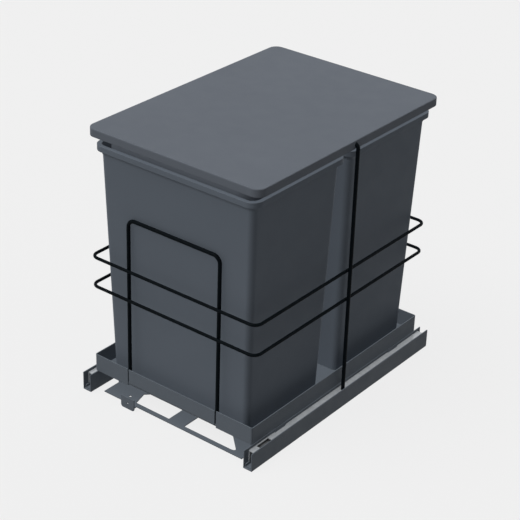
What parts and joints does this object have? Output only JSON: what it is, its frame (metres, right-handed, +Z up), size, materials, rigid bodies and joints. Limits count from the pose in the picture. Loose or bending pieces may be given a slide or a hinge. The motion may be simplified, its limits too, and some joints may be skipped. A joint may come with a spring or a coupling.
{
  "type": "pull out trash cabinet unit",
  "caption": "Pull out waste unit for a kitchen base cabinet: lidded bins in a wire and sheet steel carriage that rolls out on ball bearing floor slides.",
  "frame": {"origin": "centre of the unit's footprint on the cabinet floor", "axes": "-Y is the front, the way the carriage pulls out; +X is to the right seen from the front; +Z is up"},
  "size_m": [0.341, 0.468, 0.452],
  "materials": {
    "coated_sheet": "dark grey powder coat, fine satin",
    "zinc_rail": "bright zinc plated roll formed steel",
    "ball_steel": "polished bearing steel",
    "fastener_steel": "zinc plated",
    "stop_rubber": "matt black rubber",
    "coated_wire": "near black coated steel wire",
    "bin_plastic": "moulded dark grey plastic, fine matt grain",
    "lid_plastic": "moulded grey plastic, fine matt grain"
  },
  "bodies": {
    "base": {"left_channel": "coated_sheet", "right_channel": "coated_sheet", "front_plate": "coated_sheet", "rear_plate": "coated_sheet", "left_fixed_rail": "coated_sheet", "right_fixed_rail": "coated_sheet", "rail_rivets": "fastener_steel", "rear_stops": "stop_rubber"},
    "left_lower_cage_body": {"left_lower_cage": "zinc_rail", "left_lower_balls": "ball_steel"},
    "right_lower_cage_body": {"right_lower_cage": "zinc_rail", "right_lower_balls": "ball_steel"},
    "left_middle_body": {"left_middle_rail": "zinc_rail"},
    "right_middle_body": {"right_middle_rail": "zinc_rail"},
    "left_upper_cage_body": {"left_upper_cage": "zinc_rail", "left_upper_balls": "ball_steel"},
    "right_upper_cage_body": {"right_upper_cage": "zinc_rail", "right_upper_balls": "ball_steel"},
    "carriage": {"left_top_rail": "zinc_rail", "right_top_rail": "zinc_rail", "front_cross_bar": "zinc_rail", "rear_cross_bar": "zinc_rail", "tray": "coated_sheet", "tray_screws": "fastener_steel", "front_hoop": "coated_wire", "rear_hoop": "coated_wire", "lower_loop": "coated_wire", "upper_loop": "coated_wire", "lid_arch": "coated_wire"},
    "lid_body": {"lid": "lid_plastic"},
    "front_bin_body": {"front_bin": "bin_plastic"},
    "rear_bin_body": {"rear_bin": "bin_plastic"}
  },
  "joints": [
    {"name": "carriage_slide", "type": "slide", "parent": "base", "child": "carriage", "axis": [0, -1, 0], "range_m": [0, 0.45]},
    {"name": "left_lower_cage_slide", "type": "slide", "parent": "base", "child": "left_lower_cage_body", "axis": [0, -1, 0], "range_m": [0, 0.1125]},
    {"name": "left_middle_slide", "type": "slide", "parent": "base", "child": "left_middle_body", "axis": [0, -1, 0], "range_m": [0, 0.225]},
    {"name": "left_upper_cage_slide", "type": "slide", "parent": "base", "child": "left_upper_cage_body", "axis": [0, -1, 0], "range_m": [0, 0.3375]},
    {"name": "right_lower_cage_slide", "type": "slide", "parent": "base", "child": "right_lower_cage_body", "axis": [0, -1, 0], "range_m": [0, 0.1125]},
    {"name": "right_middle_slide", "type": "slide", "parent": "base", "child": "right_middle_body", "axis": [0, -1, 0], "range_m": [0, 0.225]},
    {"name": "right_upper_cage_slide", "type": "slide", "parent": "base", "child": "right_upper_cage_body", "axis": [0, -1, 0], "range_m": [0, 0.3375]},
    {"name": "lid_lift", "type": "slide", "parent": "carriage", "child": "lid_body", "axis": [0, 0, 1], "range_m": [0, 0.84]},
    {"name": "front_bin_lift", "type": "slide", "parent": "carriage", "child": "front_bin_body", "axis": [0, 0, 1], "range_m": [0, 0.42]},
    {"name": "rear_bin_lift", "type": "slide", "parent": "carriage", "child": "rear_bin_body", "axis": [0, 0, 1], "range_m": [0, 0.42]}
  ],
  "couplings": [
    {"joint": "left_lower_cage_slide", "follows": "carriage_slide", "ratio": 0.25},
    {"joint": "left_middle_slide", "follows": "carriage_slide", "ratio": 0.5},
    {"joint": "left_upper_cage_slide", "follows": "carriage_slide", "ratio": 0.75},
    {"joint": "right_lower_cage_slide", "follows": "carriage_slide", "ratio": 0.25},
    {"joint": "right_middle_slide", "follows": "carriage_slide", "ratio": 0.5},
    {"joint": "right_upper_cage_slide", "follows": "carriage_slide", "ratio": 0.75},
    {"joint": "front_bin_lift", "follows": "lid_lift", "ratio": 0.5},
    {"joint": "rear_bin_lift", "follows": "lid_lift", "ratio": 0.5}
  ]
}
